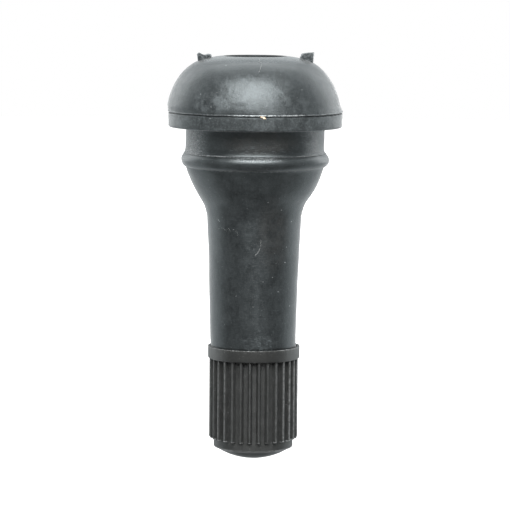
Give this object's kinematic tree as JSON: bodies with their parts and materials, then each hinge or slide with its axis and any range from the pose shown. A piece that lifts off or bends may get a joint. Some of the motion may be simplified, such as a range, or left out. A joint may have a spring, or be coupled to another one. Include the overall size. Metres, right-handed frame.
{
  "type": "tyre valve",
  "caption": "Snap-in rubber tyre valve with a domed head, a bead under a rim groove, a tapered stem, a sprung core and a ribbed screw cap.",
  "frame": {"origin": "on the valve's axis, in the seat plane: the flat underside of the head's rim, which bears on the inside of the wheel rim", "axes": "+Z along the valve's axis towards the head, which is the side inside the tyre; -Z towards the cap; the two torn moulding stubs lie along +X and -X"},
  "size_m": [0.019, 0.019, 0.0448],
  "materials": {
    "rubber": "dusty matt black moulded rubber",
    "brass": "turned brass",
    "cap_plastic": "black moulded plastic, scuffed",
    "seal_rubber": "smooth black rubber",
    "spring_steel": "drawn spring wire",
    "packing": "dark red sealing ring"
  },
  "bodies": {
    "valve": {"rubber_body": "rubber", "brass_stem": "brass"},
    "washer": {"cap_seal": "seal_rubber"},
    "cap": {"cap_shell": "cap_plastic"},
    "core": {"core_barrel": "brass", "barrel_packing": "packing", "core_spring": "spring_steel"},
    "nut": {"core_nut": "brass"},
    "pin": {"core_pin": "brass", "seat_cup": "brass", "seat_gasket": "seal_rubber"}
  },
  "joints": [
    {"name": "cap_travel", "type": "slide", "parent": "valve", "child": "washer", "axis": [0, 0, -1], "range_m": [0, 0.00953]},
    {"name": "cap_turn", "type": "hinge", "parent": "washer", "child": "cap", "pos_m": [0, 0, -0.0333], "axis": [0, 0, -1], "range_deg": [0, 4320.5]},
    {"name": "core_travel", "type": "slide", "parent": "valve", "child": "core", "axis": [0, 0, -1], "range_m": [0, 0.0007055]},
    {"name": "nut_turn", "type": "hinge", "parent": "core", "child": "nut", "pos_m": [0, 0, -0.0333], "axis": [0, 0, -1], "range_deg": [0, 360.5]},
    {"name": "pin_press", "type": "slide", "parent": "core", "child": "pin", "axis": [0, 0, 1], "range_m": [0, 0.0015], "stiffness_N_per_m": 750, "deforming": ["core_spring"]}
  ],
  "couplings": [
    {"joint": "cap_turn", "follows": "cap_travel", "rad_per_m": 7915.8},
    {"joint": "nut_turn", "follows": "core_travel", "rad_per_m": 8905.3}
  ]
}
